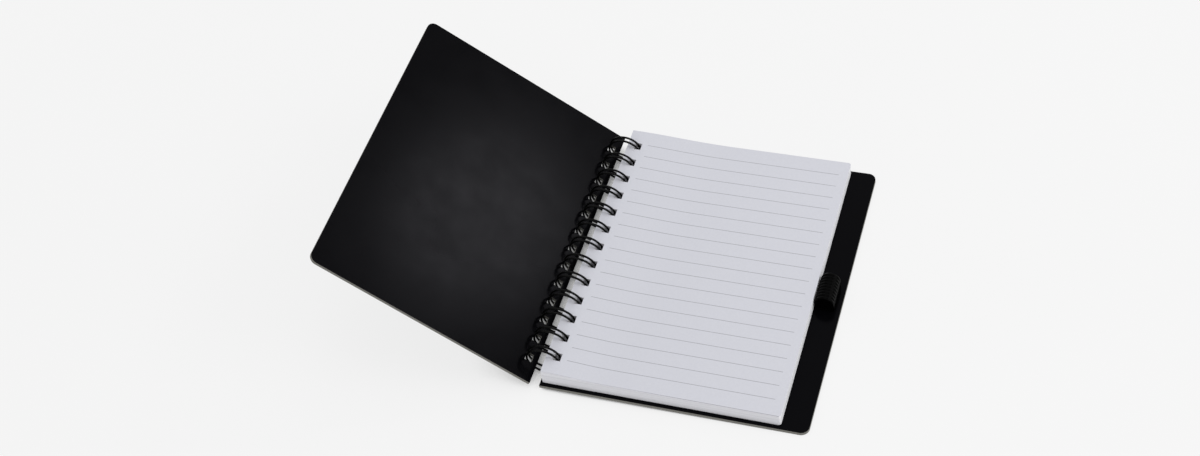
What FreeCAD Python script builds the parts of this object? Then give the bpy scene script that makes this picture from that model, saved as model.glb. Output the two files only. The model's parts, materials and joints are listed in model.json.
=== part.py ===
import math
import os

import FreeCAD, Part
from FreeCAD import Vector

os.makedirs("parts", exist_ok=True)

# Wire-bound notebook, lying on its back cover with the front cover open.
# Millimetres. +X runs from the spine to the fore-edge of the back cover, +Y
# along the spine to the top of the page, +Z up. It is built about the centre of
# the back cover's underside and then moved, so that the origin lies under the
# middle of the whole opened notebook, level with the lowest point of the rings.

# pages: the block lies flat and rises to the wire at the spine
page_w = 128.0
page_h = 175.0
block_t = 7.6
page_corner_r = 1.5
page_gap = 0.1
rise_top = 2.9
rise_bottom = 2.2
rise_top_run = 60.0
rise_bottom_run = 36.0
page_y = 0.4

# boards: how far they reach beyond the pages
board_t = 1.9
cover_over = 1.6
pen_strip = 14.35
front_over = 3.5
closed_gap = 0.4
cover_corner_r = 4.5
back_y = -0.3
front_y = -1.0

# binding wire, rows of holes; the spine edges lie this far in from the axis
ring_r = 9.2
wire_d = 1.15
pair_half = 1.45
pitch = 12.7
hole_y = 4.8
ring_height = 7.5
back_edge_in = 0.6
page_edge_in = 2.1
front_edge_in = 1.1
hole_play = 0.42
tip_angle = -53.0
run_angle = -80.0
bend_r = 1.2
cut_end = 0.5
ring_steps = 20
u_steps = 6
bend_steps = 3

# open angle of the front cover above closed
rest_open = 144.0

# pen loop on the strip beside the pages
loop_w = 10.8
loop_top = 10.2
loop_wall = 0.9
loop_len = 18.0
loop_y = -2.2
loop_gap = 0.4

# sizes that follow
cover_h = page_h + 2 * cover_over
back_w = page_edge_in - back_edge_in + page_w + pen_strip
front_w = page_edge_in - front_edge_in + page_w + front_over
pairs = int(page_h // pitch)

# the axis that all the rings share, parallel to Y
axis_x = -back_w / 2 - back_edge_in
axis = Vector(axis_x, 0, ring_height)
wire_r = wire_d / 2
hole_ys = [(i - (pairs - 1) / 2) * pitch for i in range(pairs)]
back_x0 = -back_w / 2
page_x0 = axis_x + page_edge_in
page_z0 = board_t + page_gap
page_z1 = page_z0 + block_t
hump_z = page_z1 + max(rise_top, rise_bottom)
front_stand = hump_z + closed_gap - ring_height


def on_ring(deg):
    a = math.radians(deg)
    return Vector(axis_x + ring_r * math.cos(a), 0, ring_height + ring_r * math.sin(a))


def along(deg):
    a = math.radians(deg)
    return Vector(-math.sin(a), 0, math.cos(a))


def reach(dist):
    """Distance along a board, from the foot of the ring centre, at which the
    wire crosses a plane that lies dist from the ring centre, with the half
    width of the wire there."""
    run = math.sqrt(ring_r ** 2 - dist ** 2)
    return run, wire_r * ring_r / run


def hole_span(near, far):
    """Start and end of a hole whose board lies between two distances."""
    spans = [reach(abs(d)) for d in (near, far)]
    if near * far < 0:
        spans.append((ring_r, wire_r))
    low = min(r - w for r, w in spans) - hole_play
    high = max(r + w for r, w in spans) + hole_play
    return low, high


def punch(solid, x0, x1, z0, z1):
    cuts = []
    for y in hole_ys:
        cuts.append(Part.makeBox(x1 - x0, hole_y, z1 - z0, Vector(x0, y - hole_y / 2, z0)))
    return solid.cut(Part.makeCompound(cuts))


def board(x0, x1, y_mid, height, z0, z1, corner_r):
    """Flat board with square corners at the spine and round ones at x1."""
    solid = Part.makeBox(x1 - x0, height, z1 - z0, Vector(x0, y_mid - height / 2, z0))
    edges = []
    for e in solid.Edges:
        c = e.CenterOfMass
        if abs(c.x - x1) < 1e-6 and abs(c.z - (z0 + z1) / 2) < 1e-6:
            edges.append(e)
    return solid.makeFillet(corner_r, edges)


def make_back_cover():
    solid = board(back_x0, back_x0 + back_w, back_y, cover_h, 0, board_t, cover_corner_r)
    low, high = hole_span(-ring_height, board_t - ring_height)
    return punch(solid, axis_x + low, axis_x + high, -1, board_t + 1)


def make_front_cover():
    """Built closed above the pages, then turned open about the ring axis."""
    x0 = axis_x + front_edge_in
    z0 = ring_height + front_stand
    solid = board(x0, x0 + front_w, front_y, cover_h, z0, z0 + board_t, cover_corner_r)
    low, high = hole_span(front_stand, front_stand + board_t)
    solid = punch(solid, axis_x + low, axis_x + high, z0 - 1, z0 + board_t + 1)
    solid.rotate(axis, Vector(0, -1, 0), rest_open)
    return solid


def page_profile(y, rise, run):
    """Section of the block at y: flat underside, the top curling up to the
    wire over the last stretch before the spine."""
    x1 = page_x0 + page_w
    flat_x = page_x0 + run
    a = Vector(page_x0, y, page_z0)
    b = Vector(x1, y, page_z0)
    c = Vector(x1, y, page_z1)
    d = Vector(flat_x, y, page_z1)
    e = Vector(page_x0, y, page_z1 + rise)
    curve = Part.BezierCurve()
    bend_in = Vector(page_x0 + run * 0.6, y, page_z1)
    bend_out = Vector(page_x0 + run * 0.36, y, page_z1 + rise * 0.92)
    curve.setPoles([d, bend_in, bend_out, e])
    lines = [Part.makeLine(a, b), Part.makeLine(b, c), Part.makeLine(c, d)]
    return Part.Wire(lines + [curve.toShape(), Part.makeLine(e, a)])


def make_page_block():
    low_end = page_profile(page_y - page_h / 2, rise_bottom, rise_bottom_run)
    high_end = page_profile(page_y + page_h / 2, rise_top, rise_top_run)
    solid = Part.makeLoft([low_end, high_end], True, True)
    trim_h = block_t + rise_top + 4
    x1 = page_x0 + page_w
    outline = board(page_x0 - 1, x1, page_y, page_h, page_z0 - 1, page_z0 + trim_h, page_corner_r)
    solid = solid.common(outline)
    low, high = hole_span(page_z0 - ring_height, hump_z - ring_height)
    return punch(solid, axis_x + low, axis_x + high, page_z0 - 1, page_z0 + trim_h)


def stations(y):
    """Sections along one pair of rings, from the run before it to the run
    after it: a quarter bend, a ring, the U, the other ring, a quarter bend.
    Each is a centre with two directions across the wire."""
    tip = on_ring(tip_angle)
    foot = on_ring(run_angle)
    sweep = 360 + run_angle - tip_angle
    found = []

    def turn(hub, radius, start, end, steps, out, onward):
        for k in range(steps + 1):
            a = math.radians(start + (end - start) * k / steps)
            side = Vector(0, -math.cos(a), 0) + onward * math.sin(a)
            found.append((hub + side * radius, out, side))

    def ring(offset, start, end):
        for k in range(1, ring_steps):
            deg = start + (end - start) * k / ring_steps
            center = on_ring(deg) + Vector(0, y + offset, 0)
            side = Vector(0, -1, 0) if offset < 0 else Vector(0, 1, 0)
            found.append((center, (on_ring(deg) - axis).normalize(), side))

    def flip(group):
        return [(c, out, side * -1) for c, out, side in group]

    out_foot = (foot - axis).normalize()
    out_tip = (tip - axis).normalize()
    hub_y = pair_half + bend_r
    turn(foot + Vector(0, y - hub_y, 0), bend_r, 90, 180, bend_steps, out_foot, along(run_angle))
    found[:] = flip(found)
    ring(-pair_half, 360 + run_angle, tip_angle)
    turn(tip + Vector(0, y, 0), pair_half, 0, 180, u_steps, out_tip, along(tip_angle) * -1)
    ring(pair_half, tip_angle, tip_angle + sweep)
    first = len(found)
    turn(foot + Vector(0, y + hub_y, 0), bend_r, 0, 90, bend_steps, out_foot, along(run_angle))
    found[first:] = flip(found[first:])
    return found


def make_binding_wire():
    """One continuous six-sided wire, flat facets from station to station."""
    path = []
    for y in hole_ys:
        path += stations(y)
    first, last = path[0], path[-1]
    path.insert(0, (first[0] - Vector(0, cut_end, 0), first[1], first[2]))
    path.append((last[0] + Vector(0, cut_end, 0), last[1], last[2]))
    rings = []
    for center, out, side in path:
        ring = []
        for k in range(6):
            a = math.radians(60 * k)
            ring.append(center + out * (wire_r * math.cos(a)) + side * (wire_r * math.sin(a)))
        rings.append(ring)
    faces = [flat(rings[0]), flat(rings[-1])]
    for a, b in zip(rings, rings[1:]):
        for k in range(6):
            m = (k + 1) % 6
            faces.append(flat([a[k], a[m], b[m], b[k]]))
    skin = Part.makeCompound(faces)
    skin.sewShape()
    solid = Part.Solid(skin.Shells[0])
    if solid.Volume < 0:
        solid.reverse()
    return solid


def flat(points):
    return Part.Face(Part.makePolygon(points + [points[0]]))


def loop_outline(half, height, base):
    """Closed D outline, flat side down, standing on z = base."""
    spring = height - half
    a = Vector(-half, 0, base)
    b = Vector(-half, 0, spring)
    top = Vector(0, 0, height)
    c = Vector(half, 0, spring)
    d = Vector(half, 0, base)
    arc = Part.Arc(b, top, c).toShape()
    return Part.Wire([Part.makeLine(a, b), arc, Part.makeLine(c, d), Part.makeLine(d, a)])


def make_pen_loop():
    outer = Part.Face(loop_outline(loop_w / 2, loop_top, 0))
    inner = Part.Face(loop_outline(loop_w / 2 - loop_wall, loop_top - loop_wall, loop_wall))
    band = outer.cut(inner).extrude(Vector(0, loop_len, 0))
    x = page_x0 + page_w + loop_gap + loop_w / 2
    band.translate(Vector(x, loop_y - loop_len / 2, board_t))
    return band


def to_origin(shapes):
    """Move from the middle of the overall outline to the origin."""
    points = [v.Point for shape in shapes for v in shape.Vertexes]
    lows = [min(p[k] for p in points) for k in range(3)]
    highs = [max(p[k] for p in points) for k in range(3)]
    return Vector(-(lows[0] + highs[0]) / 2, -(lows[1] + highs[1]) / 2, -lows[2])


built = {
    "back_cover": make_back_cover(),
    "front_cover": make_front_cover(),
    "page_block": make_page_block(),
    "binding_wire": make_binding_wire(),
    "pen_loop": make_pen_loop(),
}
move = to_origin(built.values())
print("ring axis", [round(v, 4) for v in axis + move], "move", [round(v, 4) for v in move])
for name, shape in built.items():
    shape.translate(move)
    solids = shape.Solids
    print(name, "solids", len(solids), "valid", shape.isValid(), "volume", round(shape.Volume, 1))
    (solids[0] if len(solids) == 1 else shape).exportStep("parts/" + name + ".step")
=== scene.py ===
import json
import math

import bmesh
import bpy
from mathutils import Matrix, Vector


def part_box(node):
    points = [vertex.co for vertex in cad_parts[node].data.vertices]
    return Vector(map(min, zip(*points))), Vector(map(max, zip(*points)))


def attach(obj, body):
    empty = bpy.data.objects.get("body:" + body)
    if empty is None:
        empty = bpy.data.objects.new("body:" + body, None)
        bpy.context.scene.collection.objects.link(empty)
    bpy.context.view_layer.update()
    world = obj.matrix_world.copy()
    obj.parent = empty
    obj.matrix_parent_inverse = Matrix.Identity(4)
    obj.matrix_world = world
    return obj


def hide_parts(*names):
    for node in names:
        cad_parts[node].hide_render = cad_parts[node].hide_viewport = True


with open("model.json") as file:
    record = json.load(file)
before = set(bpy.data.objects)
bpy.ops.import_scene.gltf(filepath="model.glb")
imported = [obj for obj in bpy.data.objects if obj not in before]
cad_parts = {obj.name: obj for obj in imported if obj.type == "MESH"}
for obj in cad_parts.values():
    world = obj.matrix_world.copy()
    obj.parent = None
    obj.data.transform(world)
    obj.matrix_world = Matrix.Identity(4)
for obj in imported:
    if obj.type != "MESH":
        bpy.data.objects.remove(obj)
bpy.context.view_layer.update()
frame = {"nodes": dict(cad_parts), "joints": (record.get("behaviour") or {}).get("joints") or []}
MM = 0.001

# measures read from the frame, in metres
back_low, back_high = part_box("back_cover")
page_low, page_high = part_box("page_block")
wire_low, wire_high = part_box("binding_wire")
loop_low, loop_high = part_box("pen_loop")
hinge = Vector(frame["joints"][0]["pos_m"])
hinge.y = (wire_low.y + wire_high.y) / 2

# the wire
WIRE_D = 1.22 * MM
RING_R = 9.2 * MM
PAIR_HALF = 1.45 * MM
PITCH = 12.7 * MM
PAIRS = 13
TIP_ANGLE = -53.0
RUN_ANGLE = -80.0
BEND_R = 1.2 * MM
CUT_END = 0.5 * MM
RING_STEPS = 64
BEND_STEPS = 10
WIRE_SIDES = 12

# the front cover stands this far open above closed
REST_OPEN = math.radians(144.0)

# ruling, and a painted shade strip along the lower edge of the top sheet
LINES = 19
LINE_PITCH = 8.62 * MM
LINE_TOP = (wire_low.y + wire_high.y) / 2 + 78.1 * MM
LINE_W = 0.32 * MM
# grey of the rules, also used for the painted shade strip
RULE_AND_SHADE_TONE = (0.36, 0.36, 0.39, 1)
LINE_X0 = page_low.x + 11.6 * MM
LINE_X1 = page_high.x - 4.9 * MM
SHEET_SHADE_EDGE = page_low.y + 0.4 * MM


# materials
def new_material(name):
    mat = bpy.data.materials.new(name)
    mat.use_nodes = True
    nodes, links = mat.node_tree.nodes, mat.node_tree.links
    shader = nodes["Principled BSDF"]
    return mat, nodes, links, shader


def noise(nodes, links, coords, scale, detail=3.0):
    """Noise with about scale blotches to the metre."""
    n = nodes.new("ShaderNodeTexNoise")
    n.inputs["Scale"].default_value = scale
    n.inputs["Detail"].default_value = detail
    links.new(coords, n.inputs["Vector"])
    return n.outputs["Fac"]


def math_node(nodes, links, op, a, b=None):
    n = nodes.new("ShaderNodeMath")
    n.operation = op
    for socket, value in zip(n.inputs, (a, b)):
        if value is None:
            continue
        if isinstance(value, (int, float)):
            socket.default_value = value
        else:
            links.new(value, socket)
    return n.outputs[0]


def ramp(nodes, links, fac, stops):
    """Blend between stops, each a position with a grey value or a colour."""
    n = nodes.new("ShaderNodeValToRGB")
    while len(n.color_ramp.elements) < len(stops):
        n.color_ramp.elements.new(0.5)
    for e, (pos, grey) in zip(n.color_ramp.elements, stops):
        e.position = pos
        e.color = (*grey, 1) if isinstance(grey, tuple) else (grey, grey, grey, 1)
    links.new(fac, n.inputs["Fac"])
    return n.outputs["Color"]


def bump(nodes, links, shader, height, strength, distance):
    """Fine relief in the shading, distance metres deep."""
    n = nodes.new("ShaderNodeBump")
    n.inputs["Strength"].default_value = strength
    n.inputs["Distance"].default_value = distance
    links.new(height, n.inputs["Height"])
    links.new(n.outputs["Normal"], shader.inputs["Normal"])


def object_coords(nodes):
    return nodes.new("ShaderNodeTexCoord").outputs["Object"]


def cover_film():
    """Satin black covering film with a very fine grain."""
    mat, nodes, links, shader = new_material("cover_film")
    at = object_coords(nodes)
    tone = noise(nodes, links, at, 9.0, 2.0)
    tones = [(0.3, (0.0012, 0.0012, 0.0016)), (0.7, (0.0016, 0.0016, 0.0021))]
    links.new(ramp(nodes, links, tone, tones), shader.inputs["Base Color"])
    wear = noise(nodes, links, at, 55.0, 5.0)
    gloss = ramp(nodes, links, wear, [(0.35, 0.15), (0.65, 0.195)])
    links.new(gloss, shader.inputs["Roughness"])
    shader.inputs["Specular IOR Level"].default_value = 0.047
    shader.inputs["Specular Tint"].default_value = (0.93, 0.91, 1.0, 1)
    bump(nodes, links, shader, noise(nodes, links, at, 2600.0, 2.0), 0.03, 0.00003)
    return mat


def board_core():
    """Grey pressed board that shows at the cut edges and in the holes."""
    mat, nodes, links, shader = new_material("board_core")
    at = object_coords(nodes)
    fibre = noise(nodes, links, at, 1400.0, 4.0)
    tones = [(0.25, (0.135, 0.132, 0.118)), (0.75, (0.215, 0.208, 0.188))]
    links.new(ramp(nodes, links, fibre, tones), shader.inputs["Base Color"])
    shader.inputs["Roughness"].default_value = 0.9
    bump(nodes, links, shader, fibre, 0.3, 0.0001)
    return mat


def ruled_paper():
    """Top sheet with thin grey rules and a painted shade strip along its lower edge."""
    mat, nodes, links, shader = new_material("ruled_paper")
    at = object_coords(nodes)
    split = nodes.new("ShaderNodeSeparateXYZ")
    links.new(at, split.inputs[0])
    x, y = split.outputs[0], split.outputs[1]
    down = math_node(nodes, links, "SUBTRACT", LINE_TOP, y)
    rows = math_node(nodes, links, "MULTIPLY", down, 1.0 / LINE_PITCH)
    away = math_node(nodes, links, "PINGPONG", rows, 0.5)
    near = math_node(nodes, links, "MULTIPLY", away, LINE_PITCH)
    line = math_node(nodes, links, "LESS_THAN", near, LINE_W / 2)
    for side, a, b in (("GREATER_THAN", x, LINE_X0), ("LESS_THAN", x, LINE_X1),
                       ("LESS_THAN", y, LINE_TOP + LINE_PITCH / 2),
                       ("GREATER_THAN", y, LINE_TOP - (LINES - 0.5) * LINE_PITCH)):
        line = math_node(nodes, links, "MULTIPLY", line, math_node(nodes, links, side, a, b))
    # painted shade: a grey strip along the lower edge of the top, fainter towards the spine,
    # stands for the shadow where the top sheet ends
    across = math_node(nodes, links, "SUBTRACT", x, page_low.x)
    across = math_node(nodes, links, "DIVIDE", across, page_high.x - page_low.x)
    shade = math_node(nodes, links, "LESS_THAN", y, SHEET_SHADE_EDGE)
    fade = ramp(nodes, links, across, [(0.2, 0.25), (0.6, 0.8)])
    shade = math_node(nodes, links, "MULTIPLY", shade, fade)
    line = math_node(nodes, links, "MAXIMUM", line, shade)
    fibre = noise(nodes, links, at, 900.0, 4.0)
    tones = [(0.3, (0.63, 0.636, 0.69)), (0.7, (0.652, 0.658, 0.712))]
    paper = ramp(nodes, links, fibre, tones)
    mix = nodes.new("ShaderNodeMix")
    mix.data_type = "RGBA"
    links.new(line, mix.inputs["Factor"])
    links.new(paper, mix.inputs["A"])
    mix.inputs["B"].default_value = RULE_AND_SHADE_TONE
    links.new(mix.outputs["Result"], shader.inputs["Base Color"])
    shader.inputs["Roughness"].default_value = 0.85
    shader.inputs["Specular IOR Level"].default_value = 0.2
    bump(nodes, links, shader, noise(nodes, links, at, 1800.0, 3.0), 0.08, 0.00005)
    return mat


def sheet_edges(name, dark, light):
    """Cut edges of the stacked sheets: many thin uneven layers."""
    mat, nodes, links, shader = new_material(name)
    at = object_coords(nodes)
    warp = nodes.new("ShaderNodeMapping")
    warp.inputs["Scale"].default_value = (6.0, 6.0, 3200.0)
    links.new(at, warp.inputs["Vector"])
    layers = noise(nodes, links, warp.outputs[0], 1.0, 2.0)
    tone = ramp(nodes, links, layers, [(0.3, dark), (0.6, light)])
    links.new(tone, shader.inputs["Base Color"])
    shader.inputs["Roughness"].default_value = 0.9
    bump(nodes, links, shader, layers, 0.5, 0.0001)
    return mat


def wire_coat():
    """Glossy black coating with slight waviness."""
    mat, nodes, links, shader = new_material("wire_coat")
    at = object_coords(nodes)
    ripple = noise(nodes, links, at, 700.0, 2.0)
    tone = ramp(nodes, links, ripple, [(0.3, 0.0015), (0.7, 0.003)])
    links.new(tone, shader.inputs["Base Color"])
    gloss = ramp(nodes, links, ripple, [(0.3, 0.24), (0.7, 0.34)])
    links.new(gloss, shader.inputs["Roughness"])
    shader.inputs["Specular IOR Level"].default_value = 0.1
    bump(nodes, links, shader, ripple, 0.1, 0.00005)
    return mat


def elastic():
    """Black woven elastic."""
    mat, nodes, links, shader = new_material("elastic")
    at = object_coords(nodes)
    weave = noise(nodes, links, at, 2400.0, 3.0)
    tone = ramp(nodes, links, weave, [(0.3, 0.0002), (0.7, 0.0005)])
    links.new(tone, shader.inputs["Base Color"])
    shader.inputs["Roughness"].default_value = 0.3
    shader.inputs["Specular IOR Level"].default_value = 0.028
    bump(nodes, links, shader, weave, 0.25, 0.0001)
    return mat


FILM, CORE, PAPER = cover_film(), board_core(), ruled_paper()
EDGES = sheet_edges("sheet_edges", (0.63, 0.63, 0.665), (0.79, 0.79, 0.83))
# painted light: the fore-edge gets a lighter copy of the edge material, standing for the light
# falling on that side
FORE_EDGE_PAINTED_LIGHT = sheet_edges("fore_edge_painted_light", (0.8, 0.8, 0.83), (0.92, 0.92, 0.95))
COAT, ELASTIC = wire_coat(), elastic()

# cosine above which a face counts as turned one way
FLAT = 0.5


def paint(node, broad, cut, up):
    """Broad faces of a board or block get one material, its cut faces another."""
    obj = frame["nodes"][node]
    obj.data.materials.clear()
    obj.data.materials.append(broad)
    obj.data.materials.append(cut)
    for face in obj.data.polygons:
        face.material_index = 0 if abs(face.normal.dot(up)) > FLAT else 1


paint("back_cover", FILM, CORE, Vector((0, 0, 1)))
open_up = Vector((math.sin(REST_OPEN), 0, -math.cos(REST_OPEN)))
paint("front_cover", FILM, CORE, open_up)
paint("page_block", PAPER, EDGES, Vector((0, 0, 1)))
pages = frame["nodes"]["page_block"].data
# faces turned to the fore-edge take the lighter, painted-light copy of the edges
pages.materials.append(FORE_EDGE_PAINTED_LIGHT)
for face in pages.polygons:
    if face.normal.x > FLAT:
        face.material_index = 2


def on_ring(deg, out=0.0, tangent=0.0):
    """Point on the rings' circle at an angle, moved outward or onward from it."""
    a = math.radians(deg)
    radial = Vector((math.cos(a), 0, math.sin(a)))
    onward = Vector((-math.sin(a), 0, math.cos(a)))
    return hinge + radial * (RING_R + out) + onward * tangent


def wire_path():
    """Points along the whole wire, from one cut end to the other."""
    points = []
    run_y = PAIR_HALF + BEND_R
    for i in range(PAIRS):
        y = (i - (PAIRS - 1) / 2) * PITCH
        if i == 0:
            points.append(on_ring(RUN_ANGLE, 0, BEND_R) + Vector((0, y - run_y - CUT_END, 0)))
        for k in range(BEND_STEPS + 1):
            a = math.radians(90 * k / BEND_STEPS)
            points.append(on_ring(RUN_ANGLE, 0, BEND_R * math.cos(a)) +
                          Vector((0, y - run_y + BEND_R * math.sin(a), 0)))
        for k in range(1, RING_STEPS):
            t = 360 + RUN_ANGLE + (TIP_ANGLE - RUN_ANGLE - 360) * k / RING_STEPS
            points.append(on_ring(t) + Vector((0, y - PAIR_HALF, 0)))
        for k in range(2 * BEND_STEPS + 1):
            a = math.radians(90 * k / BEND_STEPS)
            points.append(on_ring(TIP_ANGLE, 0, -PAIR_HALF * math.sin(a)) +
                          Vector((0, y - PAIR_HALF * math.cos(a), 0)))
        for k in range(1, RING_STEPS):
            t = TIP_ANGLE + (360 + RUN_ANGLE - TIP_ANGLE) * k / RING_STEPS
            points.append(on_ring(t) + Vector((0, y + PAIR_HALF, 0)))
        for k in range(BEND_STEPS + 1):
            a = math.radians(90 * k / BEND_STEPS)
            points.append(on_ring(RUN_ANGLE, 0, BEND_R * math.sin(a)) +
                          Vector((0, y + run_y - BEND_R * math.cos(a), 0)))
    points.append(points[-1] + Vector((0, CUT_END, 0)))
    return points


def tube(name, points, radius, sides):
    """Closed round tube along points, its section carried along untwisted."""
    bm = bmesh.new()
    rings = []
    side = None
    for i, p in enumerate(points):
        ahead = (points[min(i + 1, len(points) - 1)] - points[max(i - 1, 0)]).normalized()
        if side is None:
            side = ahead.orthogonal().normalized()
        side = (side - ahead * side.dot(ahead)).normalized()
        up = ahead.cross(side)
        ring = []
        for k in range(sides):
            a = 2 * math.pi * k / sides
            across = side * math.cos(a) + up * math.sin(a)
            ring.append(bm.verts.new(p + across * radius))
        rings.append(ring)
    for a, b in zip(rings, rings[1:]):
        for k in range(sides):
            f = bm.faces.new((a[k], a[(k + 1) % sides], b[(k + 1) % sides], b[k]))
            f.smooth = True
    bm.faces.new(rings[0][::-1])
    bm.faces.new(rings[-1])
    return from_bmesh(name, bm)


def from_bmesh(name, bm):
    bmesh.ops.recalc_face_normals(bm, faces=bm.faces)
    mesh = bpy.data.meshes.new(name)
    bm.to_mesh(mesh)
    bm.free()
    obj = bpy.data.objects.new(name, mesh)
    bpy.context.scene.collection.objects.link(obj)
    return obj


wire = tube("round_wire", wire_path(), WIRE_D / 2, WIRE_SIDES)
wire.data.materials.append(COAT)
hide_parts("binding_wire")
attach(wire, "base")


# pen loop
LOOP_WALL = 0.9 * MM
RIB_PITCH = 1.9 * MM
RIB_DEPTH = 0.35 * MM
RIB_STEPS = 8
LEG_STEPS = 6
ARC_STEPS = 32


def loop_outline(half, height, base):
    """Points round a D, from one foot over the top to the other."""
    points = []
    spring = height - half
    for k in range(LEG_STEPS + 1):
        points.append((-half, base + (spring - base) * k / LEG_STEPS))
    for k in range(1, ARC_STEPS):
        a = math.pi * (1 - k / ARC_STEPS)
        points.append((half * math.cos(a), spring + half * math.sin(a)))
    for k in range(LEG_STEPS + 1):
        points.append((half, spring + (base - spring) * k / LEG_STEPS))
    return points


def make_loop():
    """Band whose outside is a row of round ribs with sharp grooves between."""
    half = (loop_high.x - loop_low.x) / 2
    top = loop_high.z - loop_low.z
    mid = (loop_high.x + loop_low.x) / 2
    length = loop_high.y - loop_low.y
    count = RIB_STEPS * round(length / RIB_PITCH)
    bm = bmesh.new()
    outer, inner = [], []
    for i in range(count + 1):
        y = loop_low.y + length * i / count
        sink = RIB_DEPTH * (1 - abs(math.sin(math.pi * i / RIB_STEPS)))
        row = loop_outline(half - sink, top - sink, 0)
        outer.append([bm.verts.new((mid + x, y, loop_low.z + z)) for x, z in row])
        row = loop_outline(half - LOOP_WALL, top - LOOP_WALL, LOOP_WALL)
        inner.append([bm.verts.new((mid + x, y, loop_low.z + z)) for x, z in row])
    n = len(outer[0])
    for a, b, c, d in zip(outer, outer[1:], inner, inner[1:]):
        for k in range(n):
            m = (k + 1) % n
            bm.faces.new((a[k], a[m], b[m], b[k])).smooth = True
            bm.faces.new((c[k], d[k], d[m], c[m])).smooth = True
    for a, c in ((outer[0], inner[0]), (outer[-1], inner[-1])):
        for k in range(n):
            m = (k + 1) % n
            bm.faces.new((a[k], c[k], c[m], a[m]))
    return from_bmesh("ribbed_loop", bm)


loop = make_loop()
loop.data.materials.append(ELASTIC)
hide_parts("pen_loop")
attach(loop, "base")


# the stage; its numbers come from matching the photo's tones
FLOOR_SIZE = 6.0
FLOOR_GLOW = 0.79
SHADE_REACH = 0.04


def make_floor():
    """Pale table that the low side of the rings and the fore-edge rest on; it glows evenly, and
    its glow is dimmed as painted shade where parts are near.
    """
    lean = math.atan2(back_low.z - wire_low.z, back_high.x - hinge.x)
    bm = bmesh.new()
    bmesh.ops.create_grid(bm, x_segments=1, y_segments=1, size=FLOOR_SIZE)
    floor = from_bmesh("table", bm)
    turn = Matrix.Rotation(-lean, 4, "Y")
    floor.matrix_world = Matrix.Translation((back_high.x, 0, back_low.z)) @ turn
    mat, nodes, links, shader = new_material("table_white")
    tone = noise(nodes, links, object_coords(nodes), 3.0)
    pale = ramp(nodes, links, tone, [(0.2, 0.125), (0.8, 0.135)])
    links.new(pale, shader.inputs["Base Color"])
    shader.inputs["Roughness"].default_value = 0.9
    shader.inputs["Specular IOR Level"].default_value = 0.0
    # painted shade: ambient occlusion dims the floor's glow near the parts, standing for their
    # shadows and contact shade
    near = nodes.new("ShaderNodeAmbientOcclusion")
    near.samples = 8
    near.inputs["Distance"].default_value = SHADE_REACH
    glow_with_painted_shade = ramp(nodes, links, near.outputs["AO"], [(0.15, 0.1), (0.52, 1.0)])
    links.new(glow_with_painted_shade, shader.inputs["Emission Color"])
    shader.inputs["Emission Strength"].default_value = FLOOR_GLOW
    floor.data.materials.append(mat)


def area_light(name, place, aim, size, watts):
    data = bpy.data.lights.new(name, "AREA")
    data.shape = "DISK"
    data.size = size
    data.energy = watts
    obj = bpy.data.objects.new(name, data)
    obj.location = place
    obj.rotation_euler = (Vector(aim) - Vector(place)).to_track_quat("-Z", "Y").to_euler()
    bpy.context.scene.collection.objects.link(obj)


SKY_STRENGTH = 0.75
SHEEN_FROM_RINGS = Vector((0.845, 0.849, 0.868))
SHEEN_AIM = Vector((-0.052, -0.015, 0.031))


def make_light():
    """Even sky, two soft lamps, and one whose reflection lies on the cover."""
    world = bpy.data.worlds.new("studio")
    world.use_nodes = True
    sky = world.node_tree.nodes["Background"]
    sky.inputs["Color"].default_value = (1, 1, 1, 1)
    sky.inputs["Strength"].default_value = SKY_STRENGTH
    bpy.context.scene.world = world
    area_light("key", (0.15, 0.25, 1.75), (0, 0, 0), 0.9, 3)
    area_light("side", (1.44, 0.0, 1.08), (0, 0, 0), 0.9, 6.5)
    area_light("sheen", hinge + SHEEN_FROM_RINGS, hinge + SHEEN_AIM, 0.25, 1.08)
    bpy.context.scene.view_settings.view_transform = "Standard"


# camera fitted to the edges, corners and rings in the photo
CAMERA_FROM_RINGS = Vector((271.25, -554.3, 725.36)) * MM
HEADING, TILT, ROLL = 25.19, 41.01, -10.8
SENSOR_W, LENS = 36.0, 51.55


def make_camera():
    data = bpy.data.cameras.new("camera")
    data.sensor_width = SENSOR_W
    data.lens = LENS
    data.clip_start, data.clip_end = 0.01, 20
    cam = bpy.data.objects.new("camera", data)
    turn = Matrix.Rotation(math.radians(HEADING), 4, "Z")
    turn = turn @ Matrix.Rotation(math.radians(TILT), 4, "X")
    turn = turn @ Matrix.Rotation(math.radians(ROLL), 4, "Z")
    cam.matrix_world = Matrix.Translation(hinge + CAMERA_FROM_RINGS) @ turn
    bpy.context.scene.collection.objects.link(cam)
    bpy.context.scene.camera = cam


make_floor()
make_light()
make_camera()

bpy.context.view_layer.update()
